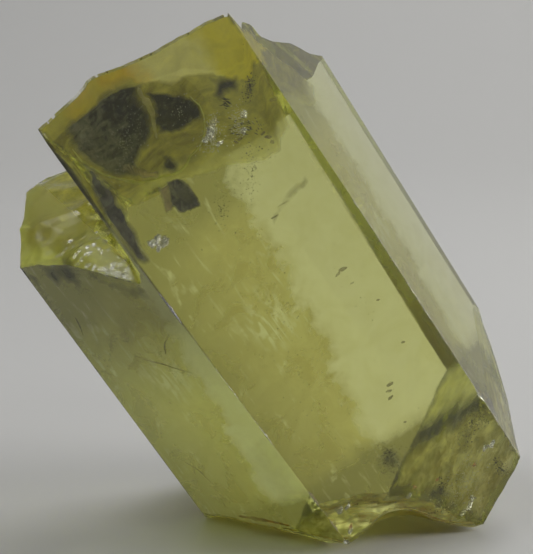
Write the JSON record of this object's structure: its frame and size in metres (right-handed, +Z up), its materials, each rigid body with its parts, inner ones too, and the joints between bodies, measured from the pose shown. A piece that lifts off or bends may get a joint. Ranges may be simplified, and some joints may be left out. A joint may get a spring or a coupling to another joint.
{
  "type": "rough heliodor crystal",
  "caption": "Rough, stubby hexagonal prism of clear yellow-green beryl, broken at both ends and standing aslant on its broken foot, with a thin spur left at its head.",
  "frame": {"origin": "centre of the bounding box on the plane that the crystal stands on", "axes": "+Z up, -Y towards the viewer of the broad front prism face, +X to the viewer's right; the crystal's own length leans 36 degrees from +Z, to the left and towards the viewer"},
  "size_m": [0.0162, 0.015, 0.0176],
  "materials": {
    "beryl": "clear yellow-green, glassy prism faces and shell-shaped breaks"
  },
  "bodies": {
    "root": {"heliodor_crystal": "beryl"}
  },
  "joints": []
}
